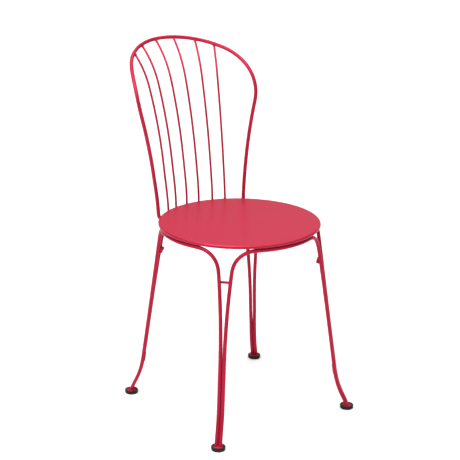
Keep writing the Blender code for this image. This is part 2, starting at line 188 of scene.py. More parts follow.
class Shell:
    """One piece's surface, gathered as corners and faces about the seat's axis."""

    def __init__(self) -> None:
        """Start with nothing."""
        self.corners: list[Vector] = []
        self.faces: list[tuple[int, ...]] = []

    def ring(self, points: Sequence[Vector]) -> range:
        """Add a row of corners.

        Args:
            points: Where they lie.

        Returns:
            Their numbers.
        """
        first = len(self.corners)
        self.corners.extend(points)
        return range(first, len(self.corners))

    def band(self, one: range, other: range) -> None:
        """Join two rings that go right round, or a ring and a single point.

        Args:
            one: The numbers of the first ring's corners.
            other: Those of the second.
        """
        count = max(len(one), len(other))
        for step in range(count):
            after = (step + 1) % count
            if len(one) == 1:
                self.faces.append((one[0], other[after], other[step]))
            elif len(other) == 1:
                self.faces.append((one[step], one[after], other[0]))
            else:
                self.faces.append((one[step], one[after], other[after], other[step]))

    def loft(self, rings: Sequence[Sequence[Vector]]) -> Shell:
        """Skin a row of rings and close both of its ends.

        Args:
            rings: The rings, each with as many points.

        Returns:
            This shell.
        """
        rows = [self.ring(points) for points in rings]
        for one, other in zip(rows, rows[1:]):
            self.band(one, other)
        for end in (rows[0], rows[-1]):
            if len(end) > 2:
                self.faces.append(tuple(end))
        return self

    def turned(self, profile: Sequence[Flat], steps: int, centre: Vector = ORIGIN) -> Shell:
        """Turn a profile about an upright axis.

        Args:
            profile: Points as (radius, height). One that leaves the axis at both ends is closed on itself.
            steps: How many sides the turned surface has.
            centre: Where the axis stands.

        Returns:
            This shell.
        """
        rows = []
        for radius, height in profile:
            if radius < ON_AXIS:
                rows.append(self.ring([centre + Vector((0.0, 0.0, height))]))
            else:
                rows.append(self.ring([centre + around(radius, math.tau * step / steps, height)
                                       for step in range(steps)]))
        for one, other in zip(rows, rows[1:]):
            self.band(one, other)
        if profile[0][0] > ON_AXIS:
            self.band(rows[-1], rows[0])
        return self

    def rod(self, path: Sequence[Vector], radii: Union[float, Sequence[float]], sides: int,
            bevel: float = 0.0) -> Shell:
        """Sweep a round section along a path.

        Args:
            path: The points of the rod's centre line.
            radii: Its radius, or one for each point.
            sides: How many sides its section has.
            bevel: How far the cut ends are broken.

        Returns:
            This shell.
        """
        sizes = [radii] * len(path) if isinstance(radii, float) else list(radii)
        points = list(path)
        if bevel > 0.0:
            for end, inner in ((0, 1), (-1, -2)):
                inward = (points[inner] - points[end]).normalized() * bevel
                place = 1 if end == 0 else len(points) - 1
                points.insert(place, points[end] + inward)
                sizes.insert(place, sizes[end])
                sizes[end] -= bevel
        ahead = [(after - before).normalized() for before, after in
                 zip([points[0], *points[:-1]], [*points[1:], points[-1]])]
        side = ahead[0].orthogonal().normalized()
        rings = []
        for point, size, forward in zip(points, sizes, ahead):
            side = (side - forward * side.dot(forward)).normalized()
            up = forward.cross(side)
            turns = [math.tau * step / sides for step in range(sides)]
            rings.append([point + (side * math.cos(turn) + up * math.sin(turn)) * size for turn in turns])
        return self.loft(rings)

    def weld_run(self, path: Sequence[Vector], width: float) -> Shell:
        """Lay a weld bead with its ripples along a path.

        Args:
            path: The line that the bead follows.
            width: How wide the bead is.

        Returns:
            This shell.
        """
        spacing = HAND.ripple / HAND.ripple_steps
        points = evenly(path, spacing)
        last = len(points) - 1
        radii = []
        for number, point in enumerate(points):
            end = min(number, last - number) / max(1.0, width / spacing)
            taper = math.sqrt(min(1.0, HAND.bead_tip + end))
            wave = 1.0 + HAND.ripple_height * math.sin(math.tau * number / HAND.ripple_steps)
            radii.append(width / 2 * taper * (wave + lumpy(point, HAND.bead_lump, HAND.bead_rough)))
        return self.rod(points, radii, HAND.bead_sides)

    def nugget(self, centre: Vector, axes: Sequence[Vector], sizes: Sequence[float]) -> Shell:
        """Put a lump of weld round a crossing.

        Args:
            centre: The middle of the lump.
            axes: Its three directions.
            sizes: Its half size along each.

        Returns:
            This shell.
        """
        rings = []
        for row in range(HAND.nugget_rows + 1):
            polar = math.pi * (HAND.nugget_cap + (1 - 2 * HAND.nugget_cap) * row / HAND.nugget_rows)
            points = []
            for step in range(HAND.nugget_sides):
                turn = math.tau * step / HAND.nugget_sides
                shares = (math.sin(polar) * math.cos(turn), math.sin(polar) * math.sin(turn),
                          math.cos(polar))
                offset = sum((axis * (share * size)
                              for axis, share, size in zip(axes, shares, sizes)), Vector())
                rough = lumpy(centre + offset, HAND.nugget_lump, HAND.nugget_rough)
                points.append(centre + offset * (1.0 + rough))
            rings.append(points)
        return self.loft(rings)


@dataclass(frozen=True)
class Flare:
    """A weld that swells round the end of a rod."""

    reach: float            # how far it goes past the rod's end
    length: float
    swell: float            # as a share of the rod's radius
    power: float            # how fast it narrows
    rough: float            # height of its lumps
    steps: int
    sides: int
    lump: float = 0.0020
    sink: float = 0.99      # where it meets the rod, as a share of the rod's radius

    def lay(self, shell: Shell, end: Vector, inner: Vector, size: float) -> None:
        """Add the weld to a shell.

        Args:
            shell: The shell that takes it.
            end: The rod's end.
            inner: The point before it on the rod's centre line.
            size: The rod's radius.
        """
        outward = (end - inner).normalized()
        line, radii = [], []
        for step in range(self.steps + 1):
            left = 1 - step / self.steps
            point = end + outward * (self.reach - self.length * step / self.steps)
            line.append(point)
            radii.append(size * (1.0 + self.swell * left ** self.power)
                         + lumpy(point, self.lump, self.rough) * left)
        radii[-1] = size * self.sink
        shell.rod(line, radii, self.sides)


# Shader work

class Wire:
    """A shader's socket that Python expressions can use. Each operation adds its Math node."""

    def __init__(self, bench: ShaderBench, socket: bpy.types.NodeSocket) -> None:
        """Wrap one socket of a bench's tree."""
        self.bench = bench
        self.socket = socket

    def _maths(self, operation: str, first: Value, second: Value) -> Wire:
        """Add one Math node and return what it gives."""
        return self.bench.node("ShaderNodeMath", {"operation": operation}, {0: first, 1: second})

    def __add__(self, other: Value) -> Wire:
        """This value plus another."""
        return self._maths("ADD", self, other)

    def __radd__(self, other: Value) -> Wire:
        """Another value plus this one."""
        return self._maths("ADD", other, self)

    def __sub__(self, other: Value) -> Wire:
        """This value less another."""
        return self._maths("SUBTRACT", self, other)

    def __rsub__(self, other: Value) -> Wire:
        """Another value less this one."""
        return self._maths("SUBTRACT", other, self)

    def __mul__(self, other: Value) -> Wire:
        """This value times another."""
        return self._maths("MULTIPLY", self, other)

    def __rmul__(self, other: Value) -> Wire:
        """Another value times this one."""
        return self._maths("MULTIPLY", other, self)


Value = Union[Wire, float]


class ShaderBench:
    """The node tree of one finish while it is put together."""

    def __init__(self, name: str) -> None:
        """Open a new material with only its Principled shader and its output.

        Args:
            name: The material's name.
        """
        self.material = bpy.data.materials.new(name)
        self.material.use_nodes = True
        self.tree = self.material.node_tree
        self.shader = self.tree.nodes["Principled BSDF"]

    def node(self, kind: str, settings: dict | None = None, sockets: dict | None = None,
             output: Union[int, str] = 0) -> Wire:
        """Add a node.

        Args:
            kind: The node's type.
            settings: Its own settings, set first. A ramp's stops are (place, colour) pairs.
            sockets: Values or wires for its inputs, by name or number.
            output: Which output is wanted.

        Returns:
            That output, as a wire.
        """
        made = self.tree.nodes.new(kind)
        for name, value in (settings or {}).items():
            if name == "stops":
                ramp = made.color_ramp.elements
                while len(ramp) < len(value):
                    ramp.new(1.0)
                for stop, (place, colour) in zip(ramp, value):
                    stop.position = place
                    stop.color = colour
            else:
                setattr(made, name, value)
        self._fill(made, sockets or {})
        return Wire(self, made.outputs[output])

    def _fill(self, made: bpy.types.Node, sockets: dict) -> None:
        """Give a node's inputs their values or wires.

        Args:
            made: The node.
            sockets: Values or wires, by the input's name or number.
        """
        for key, value in sockets.items():
            if isinstance(value, Wire):
                self.tree.links.new(value.socket, made.inputs[key])
            else:
                made.inputs[key].default_value = value

    def grain(self, place: Wire, scale: float, detail: float) -> Wire:
        """Cloudy noise from 0 to 1: so many clouds to the metre, with so much detail."""
        return self.node("ShaderNodeTexNoise", {}, {"Vector": place, "Scale": scale, "Detail": detail})

    def blend(self, share: Value, one: Union[Wire, Colour], other: Union[Wire, Colour]) -> Wire:
        """Mix two colours by a share of the other."""
        ends = [end if isinstance(end, Wire) else (*end, 1.0) for end in (one, other)]
        return self.node("ShaderNodeMix", {"data_type": "RGBA"}, {0: share, 6: ends[0], 7: ends[1]}, 2)

    def finish(self, sockets: dict) -> bpy.types.Material:
        """Fill the Principled shader's inputs and return the material."""
        self._fill(self.shader, sockets)
        return self.material


class CoatGrade(Enum):
    """Where the powder coat lies: its name, the depth of its orange peel in metres, and its gloss."""

    SHEET = ("sheet", 0.00010, 0.20)
    ROD = ("rod", 0.00012, 0.04)
    WELD = ("weld", 0.00030, 0.06)


@dataclass(frozen=True)
class PowderCoat:
    """Satin red powder coat: a nearly even colour with a fine orange peel."""

    colour: Colour = (0.3723, 0.0104, 0.0374)
    thin: Colour = (0.3276, 0.0083, 0.0302)     # where the coat is thinner
    thin_share: float = 0.30
    full: Colour = (0.3952, 0.0146, 0.0426)     # where it has built up
    full_share: float = 0.55
    full_clouds: Flat = (0.3, 0.7)              # the noise where that starts, and where it is full
    roughness: float = 0.36
    flat_roughness: float = 0.58                # of level sheet, which the spray reaches best
    flat_facing: Flat = (0.93, 0.998)           # how far up a face looks where that starts and holds
    roughness_swing: float = 0.10
    specular: float = 0.16
    metal_cast: float = 0.35
    edge_tint: Colour = (0.90, 0.55, 0.61)      # of the reflections seen at a slant
    coat_roughness: float = 0.30
    clouds: Flat = (14.0, 3.0)                  # how many to the metre, and their detail
    peel: Flat = (420.0, 1.5)
    specks: Flat = (1500.0, 1.0)
    peel_share: float = 0.75                    # of the peel in the surface's height, next to the specks
    peel_strength: float = 0.55
    sag: Flat = (11.0, 0.0)                     # the sheet's own slow waves
    sag_strength: float = 0.30
    sag_depth: float = 0.0012

    def make(self, grade: CoatGrade) -> bpy.types.Material:
        """Put the finish together for one grade.

        Args:
            grade: Where the coat lies.

        Returns:
            The material.
        """
        name, depth, coat = grade.value
        bench = ShaderBench(f"red_powder_coat_{name}")
        place = bench.node("ShaderNodeTexCoord", output="Object")
        cloud = bench.grain(place, *self.clouds)
        peel = bench.grain(place, *self.peel)
        speck = bench.grain(place, *self.specks)
        start, end = self.full_clouds
        built = bench.node("ShaderNodeMapRange", {}, {"Value": cloud, "From Min": start, "From Max": end})
        colour = bench.blend(built * self.full_share, self.colour, self.full)
        colour = bench.blend((1.0 - peel) * self.thin_share, colour, self.thin)
        swing = self.roughness_swing
        rough = self.roughness + (cloud - 0.5) * swing + (speck - 0.5) * swing
        normal = bench.node("ShaderNodeNewGeometry", output="Normal")
        facing = bench.node("ShaderNodeSeparateXYZ", {}, {0: normal}, "Z")
        start, end = self.flat_facing
        level = bench.node("ShaderNodeMapRange", {}, {"Value": facing, "From Min": start, "From Max": end})
        rough = rough + level * (self.flat_roughness - self.roughness)
        height = peel * self.peel_share + speck * (1.0 - self.peel_share)
        normal = bench.node("ShaderNodeBump", {}, {"Strength": self.peel_strength, "Distance": depth,
                                                   "Height": height})
        if grade is CoatGrade.SHEET:
            sag = bench.grain(place, *self.sag)
            normal = bench.node("ShaderNodeBump", {}, {"Strength": self.sag_strength, "Height": sag,
                                                       "Distance": self.sag_depth, "Normal": normal})
        return bench.finish({"Base Color": colour, "Roughness": rough, "Normal": normal,
                             "Specular IOR Level": self.specular, "Metallic": self.metal_cast,
                             "Specular Tint": (*self.edge_tint, 1.0), "Coat Weight": coat,
                             "Coat Roughness": self.coat_roughness})


@dataclass(frozen=True)
class GlideMoulding:
    """Matt black moulded plastic with a faint greenish cast, scuffed a little."""

    colour: Colour = (0.007, 0.010, 0.009)
    scuffed: Colour = (0.028, 0.033, 0.030)
    scuff_share: float = 0.6
    scuff_clouds: Flat = (0.52, 0.70)           # the noise where a scuff starts, and where it is full
    roughness: float = 0.52
    roughness_swing: float = 0.2
    specular: float = 0.18
    texture: Flat = (900.0, 2.0)                # how many clouds to the metre, and their detail
    texture_depth: float = 0.00012
    texture_strength: float = 0.5
    scuffs: Flat = (160.0, 4.0)

    def make(self) -> bpy.types.Material:
        """Put the finish together.

        Returns:
            The material.
        """
        bench = ShaderBench("black_glide_moulding")
        place = bench.node("ShaderNodeTexCoord", output="Object")
        texture = bench.grain(place, *self.texture)
        stops = [(self.scuff_clouds[0], (0.0, 0.0, 0.0, 1.0)), (self.scuff_clouds[1], (1.0, 1.0, 1.0, 1.0))]
        scuff = bench.node("ShaderNodeValToRGB", {"stops": stops}, {0: bench.grain(place, *self.scuffs)})
        colour = bench.blend(scuff * self.scuff_share, self.colour, self.scuffed)
        normal = bench.node("ShaderNodeBump", {}, {"Strength": self.texture_strength, "Height": texture,
                                                   "Distance": self.texture_depth})
        return bench.finish({"Base Color": colour, "Normal": normal, "Specular IOR Level": self.specular,
                             "Roughness": self.roughness + texture * self.roughness_swing})


@dataclass(frozen=True)
class PaleFloor:
    """Plain pale studio floor."""

    colour: Colour = (0.91, 0.91, 0.91)
    shade: Colour = (0.89, 0.89, 0.89)
    patches: Flat = (1.5, 2.0)      # how many to the metre, and their detail
    roughness: float = 0.9
    specular: float = 0.1

    def make(self) -> bpy.types.Material:
        """Put the finish together.

        Returns:
            The material.
        """
        bench = ShaderBench("pale_floor")
        place = bench.node("ShaderNodeTexCoord", output="Object")
        colour = bench.blend(bench.grain(place, *self.patches), self.colour, self.shade)
        return bench.finish({"Base Color": colour, "Roughness": self.roughness,
                             "Specular IOR Level": self.specular})


# The chair

class Corner(Enum):
    """The four legs, each by the start of its pieces' names and its side of the seat."""

    FRONT_LEFT = ("front_left", 1, -1)
    FRONT_RIGHT = ("front_right", -1, -1)
    REAR_LEFT = ("rear_left", 1, 1)
    REAR_RIGHT = ("rear_right", -1, 1)

    @property
    def label(self) -> str:
        """The start of the names of this leg's pieces."""
        return self.value[0]

    @property
    def at_front(self) -> bool:
        """Whether this is a front leg."""
        return self.value[2] < 0


@dataclass(frozen=True)
class Stock:
    """The rod and sheet that the chair is made of."""

    bow_rod: float = 0.0090
    hoop_rod: float = 0.0092
    spindle_rod: float = 0.0054
    stop_rod: float = 0.0062
    sheet: float = 0.0016
    touch: float = 0.0003           # gap between two pieces that touch


def placed(name: str, data: bpy.types.ID) -> bpy.types.Object:
    """Put something in the scene.

    Args:
        name: Its name.
        data: Its mesh, its light or its lens.

    Returns:
        The new object.
    """
    made = bpy.data.objects.new(name, data)
    bpy.context.scene.collection.objects.link(made)
    return made


class Workshop:
    """Sets finished shells in the chair's frame, dresses them and reports each."""

    def __init__(self) -> None:
        """Find the seat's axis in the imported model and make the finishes."""
        low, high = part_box("seat_pan")
        self.axis = Vector((0.0, (low.y + high.y) / 2, 0.0))
        coat = PowderCoat()
        self.coats = {grade: coat.make(grade) for grade in CoatGrade}
        self.moulding = GlideMoulding().make()

    def add(self, name: str, shells: Sequence[tuple[Shell, bpy.types.Material]], slot: str, *nodes: str,
            sharp: float = 35.0) -> None:
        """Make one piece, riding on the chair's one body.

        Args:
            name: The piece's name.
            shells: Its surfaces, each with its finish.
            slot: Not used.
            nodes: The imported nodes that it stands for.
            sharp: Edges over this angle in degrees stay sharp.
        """
        mesh = bpy.data.meshes.new(name)
        corners: list[Vector] = []
        faces: list[tuple[int, ...]] = []
        finishes: list[int] = []
        for number, (shell, finish) in enumerate(shells):
            start = len(corners)
            corners += [corner + self.axis for corner in shell.corners]
            faces += [tuple(start + corner for corner in face) for face in shell.faces]
            finishes += [number] * len(shell.faces)
            mesh.materials.append(finish)
        mesh.from_pydata(corners, [], faces)
        mesh.polygons.foreach_set("material_index", finishes)
        shape = bmesh.new()
        shape.from_mesh(mesh)
        bmesh.ops.recalc_face_normals(shape, faces=shape.faces)
        shape.to_mesh(mesh)
        shape.free()
        mesh.shade_smooth()
        mesh.set_sharp_from_angle(angle=math.radians(sharp))
        piece = placed(name, mesh)
        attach(piece, "root")
        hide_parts(*nodes)
        LOG.info("%s: %d faces, stands for %s", name, len(mesh.polygons), ", ".join(nodes))

    def add_coated(self, name: str, node: str, shells: Sequence[tuple[Shell, CoatGrade]],
                   sharp: float = 35.0) -> None:
        """Make one powder-coated piece.

        Args:
            name: The start of the piece's name.
            node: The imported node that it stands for.
            shells: Its surfaces, each with the grade of its coat.
            sharp: Edges over this angle in degrees stay sharp.
        """
        finished = [(shell, self.coats[grade]) for shell, grade in shells]
        self.add(f"{name}_coated", finished, "red_powder_coat", node, sharp=sharp)


@dataclass
class Seat:
    """The round sheet pan with its rolled edge, and the bar ring under it."""

    stock: Stock
    height: float = 0.4578
    radius: float = 0.1900
    insets: tuple[float, ...] = (0.25, 0.5, 0.75, 0.9)      # rings of corners in the flat, as shares of it
    bead: float = 0.0084
    curl_end: float = math.radians(196.0)       # how far the edge is rolled, from the top
    curl_tuck: float = math.radians(60.0)       # how far it goes on round the wire
    curl_steps: int = 28
    wire_sides: int = 16
    ring_bar: float = 0.0040
    ring_width: float = 0.0090
    ring_outside: float = 0.1797
    ring_edge: float = 0.0006
    ring_edge_steps: int = 3
    stitches: int = 8
    stitch_turn: float = 0.09                   # the angle that a stitch fills
    stitch_bead: float = 0.0032
    stitch_inset: float = 0.0004
    stitch_drop: float = 0.0005
    steps: int = 240

    @property
    def bead_centre(self) -> Flat:
        """The middle of the rolled edge, as (radius, height)."""
        return self.radius - self.bead / 2, self.height - self.bead / 2

    def rolled(self, size: float, sweep: float, steps: int, count: int) -> list[Flat]:
        """Points round the middle of the rolled edge, as (radius, height).

        Args:
            size: Their distance from it.
            sweep: The angle that the steps cover, from the top outward.
            steps: How many steps there are.
            count: How many points to make.

        Returns:
            The points.
        """
        radius, height = self.bead_centre
        angles = [sweep * step / steps for step in range(count)]
        return [(radius + size * math.sin(angle), height + size * math.cos(angle)) for angle in angles]

    def pan(self) -> Shell:
        """The pan: a flat sheet whose edge is rolled down and in again.

        Returns:
            Its shell.
        """
        sweep, steps = self.curl_end + self.curl_tuck, self.curl_steps
        outside = self.rolled(self.bead / 2, sweep, steps, steps + 1)
        lining = self.rolled(self.bead / 2 - self.stock.sheet, sweep, steps, steps + 1)
        places = [0.0] + [self.radius * share for share in self.insets]
        top = [(place, self.height) for place in places]
        under = [(place, self.height - self.stock.sheet) for place in reversed(places)]
        return Shell().turned(top + outside + lining[::-1] + under, self.steps)

    def rim_wire(self) -> Shell:
        """The wire that the edge is rolled round, seen in the seam from below."""
        size = self.bead / 2 - self.stock.sheet - self.stock.touch
        return Shell().turned(self.rolled(size, math.tau, self.wire_sides, self.wire_sides), self.steps)

    def ring(self) -> Shell:
        """The flat bar ring, its edges rounded.

        Returns:
            Its shell.
        """
        top = self.height - self.stock.sheet - self.stock.touch
        bottom, inside, edge = top - self.ring_width, self.ring_outside - self.ring_bar, self.ring_edge
        corners = [(inside, bottom, math.pi), (self.ring_outside, bottom, QUARTER),
                   (self.ring_outside, top, 0.0), (inside, top, -QUARTER)]
        profile = []
        for radius, height, first in corners:
            radius += -edge if radius > inside else edge
            height += -edge if height > bottom else edge
            for step in range(self.ring_edge_steps + 1):
                angle = first - QUARTER * step / self.ring_edge_steps + QUARTER
                profile.append((radius + edge * math.sin(angle), height + edge * math.cos(angle)))
        return Shell().turned(profile, self.steps)

    def ring_welds(self) -> Shell:
        """Short welds that hold the ring under the pan, on its inner side.

        Returns:
            Their shell.
        """
        shell = Shell()
        radius = self.ring_outside - self.ring_bar - self.stitch_inset
        height = self.height - self.stock.sheet - self.stitch_drop
        for number in range(self.stitches):
            middle = math.tau * (number + 0.5) / self.stitches
            shell.weld_run([around(radius, middle + share * self.stitch_turn, height)
                            for share in (-0.5, -0.25, 0.0, 0.25, 0.5)], self.stitch_bead)
        return shell

    def build(self, shop: Workshop) -> None:
        """Make the seat's pieces.

        Args:
            shop: The workshop that takes them.
        """
        shop.add_coated("seat_pan", "seat_pan",
                        [(self.pan(), CoatGrade.SHEET), (self.rim_wire(), CoatGrade.SHEET)])
        shop.add_coated("seat_ring", "seat_ring",
                        [(self.ring(), CoatGrade.SHEET), (self.ring_welds(), CoatGrade.WELD)])


@dataclass
class Legs:
    """Four bows of bent rod, each two half legs and an arc under the seat, with stops and welds."""

    stock: Stock
    seat: Seat
    inset: float = 0.0070           # of a bow's top from the seat's edge
    drop: float = 0.0100            # of a bow's top below the seat's rolled edge
    lean: float = math.radians(8.3)
    curl_start: float = 0.0950
    curl_radius: float = 0.2000
    curl_lean: float = math.radians(27.0)
    curl_steps: int = 24
    rod_tip: float = 0.0040
    rod_foot: float = 0.0078
    rod_bevel: float = 0.0004
    corner: float = math.radians(45.9)
    front_join: float = 0.1780      # where a front leg's two rods part
    front_parting: float = 2.2600   # radius of the slow bend that parts them
    rear_join: float = 0.1750
    rear_parting: float = 2.0000
    rear_slit: float = 0.0005       # half the slit between a rear leg's rods
    slit_height: float = 0.1500
    parting_steps: int = 40
    bend: float = 0.0500
    bend_steps: int = 24
    top_steps: int = 40
    easing: int = 6
    sides: int = 20
    spacing: float = 0.0045
    front_stop: float = 0.3702
    rear_stop: float = 0.3755
    stop_length: float = 0.0320
    stop_bevel: float = 0.0005
    stop_spacing: float = 0.0020
    stop_sides: int = 16
    stop_nugget: tuple[float, ...] = (0.0040, 0.0019, 0.0040)   # half its size across, out and up
    weld_bead: float = 0.0030
    weld_length: float = 0.0260
    weld_height: float = 0.0990
    coat_bridge: float = 0.0001
    tack_places: tuple[float, ...] = (-0.8, 0.0, 0.8)       # along a bow's arc, as shares of its reach
    tack_margin: float = 0.42       # the angle at either end of the arc that its tacks stay clear of
    tack_turn: float = 0.08         # the angle that a tack fills
    tack_bead: float = 0.0034
    tack_gap: float = 0.0008
    tack_drop: float = 0.0034

    @property
    def bow_radius(self) -> float:
        """Distance of a bow's top from the seat's axis."""
        return self.seat.radius - self.inset

    @property
    def bow_top(self) -> float:
        """Height of a bow's top."""
        return self.seat.bead_centre[1] - self.drop

    @property
    def pair_half(self) -> float:
        """Half the distance between the two rods of a leg, whose coats run together side by side."""
        return self.stock.bow_rod / 2 - self.coat_bridge

    @property
    def curl_end(self) -> float:
        """Height where the foot curl ends and the rods run straight to the foot."""
        return self.curl_start - self.curl_radius * (math.sin(self.curl_lean) - math.sin(self.lean))

    @property
    def tip_height(self) -> float:
        """Height where the straight ends of the rods start."""
        return self.rod_foot + self.rod_tip

    @property
    def foot_radius(self) -> float:
        """Distance of a foot from the seat's axis."""
        return self.radius(self.tip_height)

    def radius(self, height: float) -> float:
        """Find a leg's distance from the seat's axis.

        Args:
            height: The height over the floor.

        Returns:
            The distance of its rods there.
        """
        radius = self.bow_radius + (self.bow_top - max(height, self.curl_start)) * math.tan(self.lean)
        if height >= self.curl_start:
            return radius
        drop = self.curl_start - max(height, self.curl_end)
        angle = math.asin(math.sin(self.lean) + drop / self.curl_radius)
        radius += self.curl_radius * (math.cos(self.lean) - math.cos(angle))
        return radius + max(self.curl_end - height, 0.0) * math.tan(self.curl_lean)

    def azimuth(self, corner: Corner) -> float:
        """Azimuth of a leg."""
        _, side, end = corner.value
        return side * (self.corner if end > 0 else math.pi - self.corner)

    def parting(self, corner: Corner) -> tuple[float, float, float]:
        """Give what sets a leg's two rods apart.

        Args:
            corner: The leg.

        Returns:
            The height where they part, the radius of the slow bend that parts them, and half their
            distance below it.
        """
        if corner.at_front:
            return self.front_join, self.front_parting, self.pair_half
        apart = (self.stock.bow_rod + self.stock.touch) / 2 + self.rear_slit
        return self.rear_join, self.rear_parting, apart

    def half_bow(self, corner: Corner) -> list[Flat]:
        """Draw one leg's half of a flat bow, from its foot to the end of its bend.

        Args:
            corner: The leg.

        Returns:
            The points, as (across, height).
        """
        join, parting, apart = self.parting(corner)
        half = [(self.pair_half, self.tip_height)]
        for step in range(self.curl_steps + 1):
            rise = (self.curl_start - self.curl_end) * step / self.curl_steps
            half.append((self.pair_half, self.curl_end + rise))
        weld_top = self.weld_height + self.weld_length / 2
        half += [(self.pair_half, weld_top), (apart, self.slit_height), (apart, join)]
        lean = math.asin((self.bow_top - self.bend - join) / (parting - self.bend))
        parted, _ = arc(half[-1], 0.0, parting, lean, self.parting_steps)
        bent, _ = arc(parted[-1], lean, self.bend, QUARTER - lean, self.bend_steps)
        return half + parted + bent

    def bow(self, middle: float, half_angle: float, corners: Sequence[Corner]) -> list[Vector]:
        """Draw a bow: foot, leg, bend, the arc under the seat, and down again.

        Args:
            middle: Azimuth of the middle of its arc.
            half_angle: Half the angle between its two legs.
            corners: Its two legs, the one at the greater azimuth first.

        Returns:
            The points of the rod's centre line.
        """
        sides = []
        for corner in corners:
            side = [(half_angle - self.pair_half / self.foot_radius, self.foot_radius, self.rod_foot)]
            side += [(half_angle - across / self.radius(height), self.radius(height), height)
                     for across, height in self.half_bow(corner)]
            sides.append(side)
        down = [(-angle, radius, height) for angle, radius, height in reversed(sides[1])]
        start, end = sides[0][-1][0], down[0][0]
        top = [(start + (end - start) * step / self.top_steps, self.bow_radius, self.bow_top)
               for step in range(1, self.top_steps)]
        path = [around(radius, middle + angle, height) for angle, radius, height in sides[0] + top + down]
        return eased(evenly(path, self.spacing), self.easing)

    def spread(self, corner: Corner, height: float) -> float:
        """Distance of either rod from the middle of its leg at a height."""
        join, parting, apart = self.parting(corner)
        return apart + parting - math.sqrt(parting ** 2 - max(height - join, 0.0) ** 2)

    def point(self, azimuth: float, inward: float, across: float, height: float) -> Vector:
        """A point near a leg: in from its rods, and along the line through the two."""
        return around(self.radius(height) - inward, azimuth, height) + level_across(azimuth) * across

    def clear_of_rods(self, height: float, spread: float, clear: float) -> float:
        """Distance in from a leg's middle to a cross piece that clears the axes of its two rods."""
        radius = self.radius(height)
        return radius * (1 - math.cos(spread / radius)) + clear / math.cos(self.lean)

    def bow_shell(self, middle: float, half_angle: float, corners: Sequence[Corner]) -> Shell:
        """The rod of one bow."""
        path = self.bow(middle, half_angle, corners)
        return Shell().rod(path, self.stock.bow_rod / 2, self.sides, self.rod_bevel)

    def bow_welds(self, middle: float, half_angle: float) -> Shell:
        """Tack a bow's arc to the bar ring, as seen from below.

        Args:
            middle: Azimuth of the middle of its arc.
            half_angle: Half the angle between its two legs.

        Returns:
            The shell of the tacks.
        """
        shell = Shell()
        reach = half_angle - self.tack_margin
        radius = self.seat.ring_outside + self.tack_gap
        for share in self.tack_places:
            angles = [middle + reach * share + turn * self.tack_turn for turn in (-0.5, 0.0, 0.5)]
            path = [around(radius, angle, self.bow_top - self.tack_drop) for angle in angles]
            shell.weld_run(path, self.tack_bead)
        return shell

    def stop(self, corner: Corner) -> tuple[Shell, Shell]:
        """Make a stacking stop.

        Args:
            corner: Its leg.

        Returns:
            The stop's rod, and the lumps of weld where it crosses the leg's two rods.
        """
        height = self.front_stop if corner.at_front else self.rear_stop
        azimuth, spread = self.azimuth(corner), self.spread(corner, height)
        clear = (self.stock.bow_rod + self.stock.stop_rod) / 2 + self.stock.touch
        inward = self.clear_of_rods(height, spread, clear)
        ends = [self.point(azimuth, inward, self.stop_length * share, height) for share in (-0.5, 0.5)]
        rod = Shell().rod(evenly(ends, self.stop_spacing), self.stock.stop_rod / 2, self.stop_sides,
                          self.stop_bevel)
        welds = Shell()
        axes = (level_across(azimuth), around(1.0, azimuth, 0.0), UP)
        for side in (-1.0, 1.0):
            centre = self.point(azimuth, inward - self.stock.stop_rod / 2, spread * side, height)
            welds.nugget(centre, axes, self.stop_nugget)
        return rod, welds

    def join_weld(self, corner: Corner) -> Shell:
        """Lay the weld bead in the inner groove between a leg's two rods.

        Args:
            corner: The leg.

        Returns:
            The bead's shell.
        """
        apart = (self.stock.bow_rod + self.weld_bead) / 2 + self.stock.touch
        clear = math.sqrt(apart ** 2 - self.pair_half ** 2)
        path = []
        for share in (-0.5, 0.0, 0.5):
            height = self.weld_height + self.weld_length * share
            inward = self.clear_of_rods(height, self.pair_half, clear)
            path.append(self.point(self.azimuth(corner), inward, 0.0, height))
        return Shell().weld_run(path, self.weld_bead)

    def build(self, shop: Workshop) -> None:
        """Make the bows, the stops and the welds.

        Args:
            shop: The workshop that takes them.
        """
        side_half = QUARTER - self.corner
        bows = {"rear": (0.0, self.corner, (Corner.REAR_LEFT, Corner.REAR_RIGHT)),
                "left": (QUARTER, side_half, (Corner.FRONT_LEFT, Corner.REAR_LEFT)),
                "front": (math.pi, self.corner, (Corner.FRONT_RIGHT, Corner.FRONT_LEFT)),
                "right": (-QUARTER, side_half, (Corner.REAR_RIGHT, Corner.FRONT_RIGHT))}
        for name, (middle, half_angle, corners) in bows.items():
            shop.add_coated(f"{name}_leg_bow", f"{name}_leg_bow",
                            [(self.bow_shell(middle, half_angle, corners), CoatGrade.ROD),
                             (self.bow_welds(middle, half_angle), CoatGrade.WELD)])
        for corner in Corner:
            stop, lumps = self.stop(corner)
            shop.add_coated(f"{corner.label}_stop", f"{corner.label}_stacking_stop",
                            [(stop, CoatGrade.ROD), (lumps, CoatGrade.WELD)])
            shop.add_coated(f"{corner.label}_weld", f"{corner.label}_leg_weld",
                            [(self.join_weld(corner), CoatGrade.WELD)])


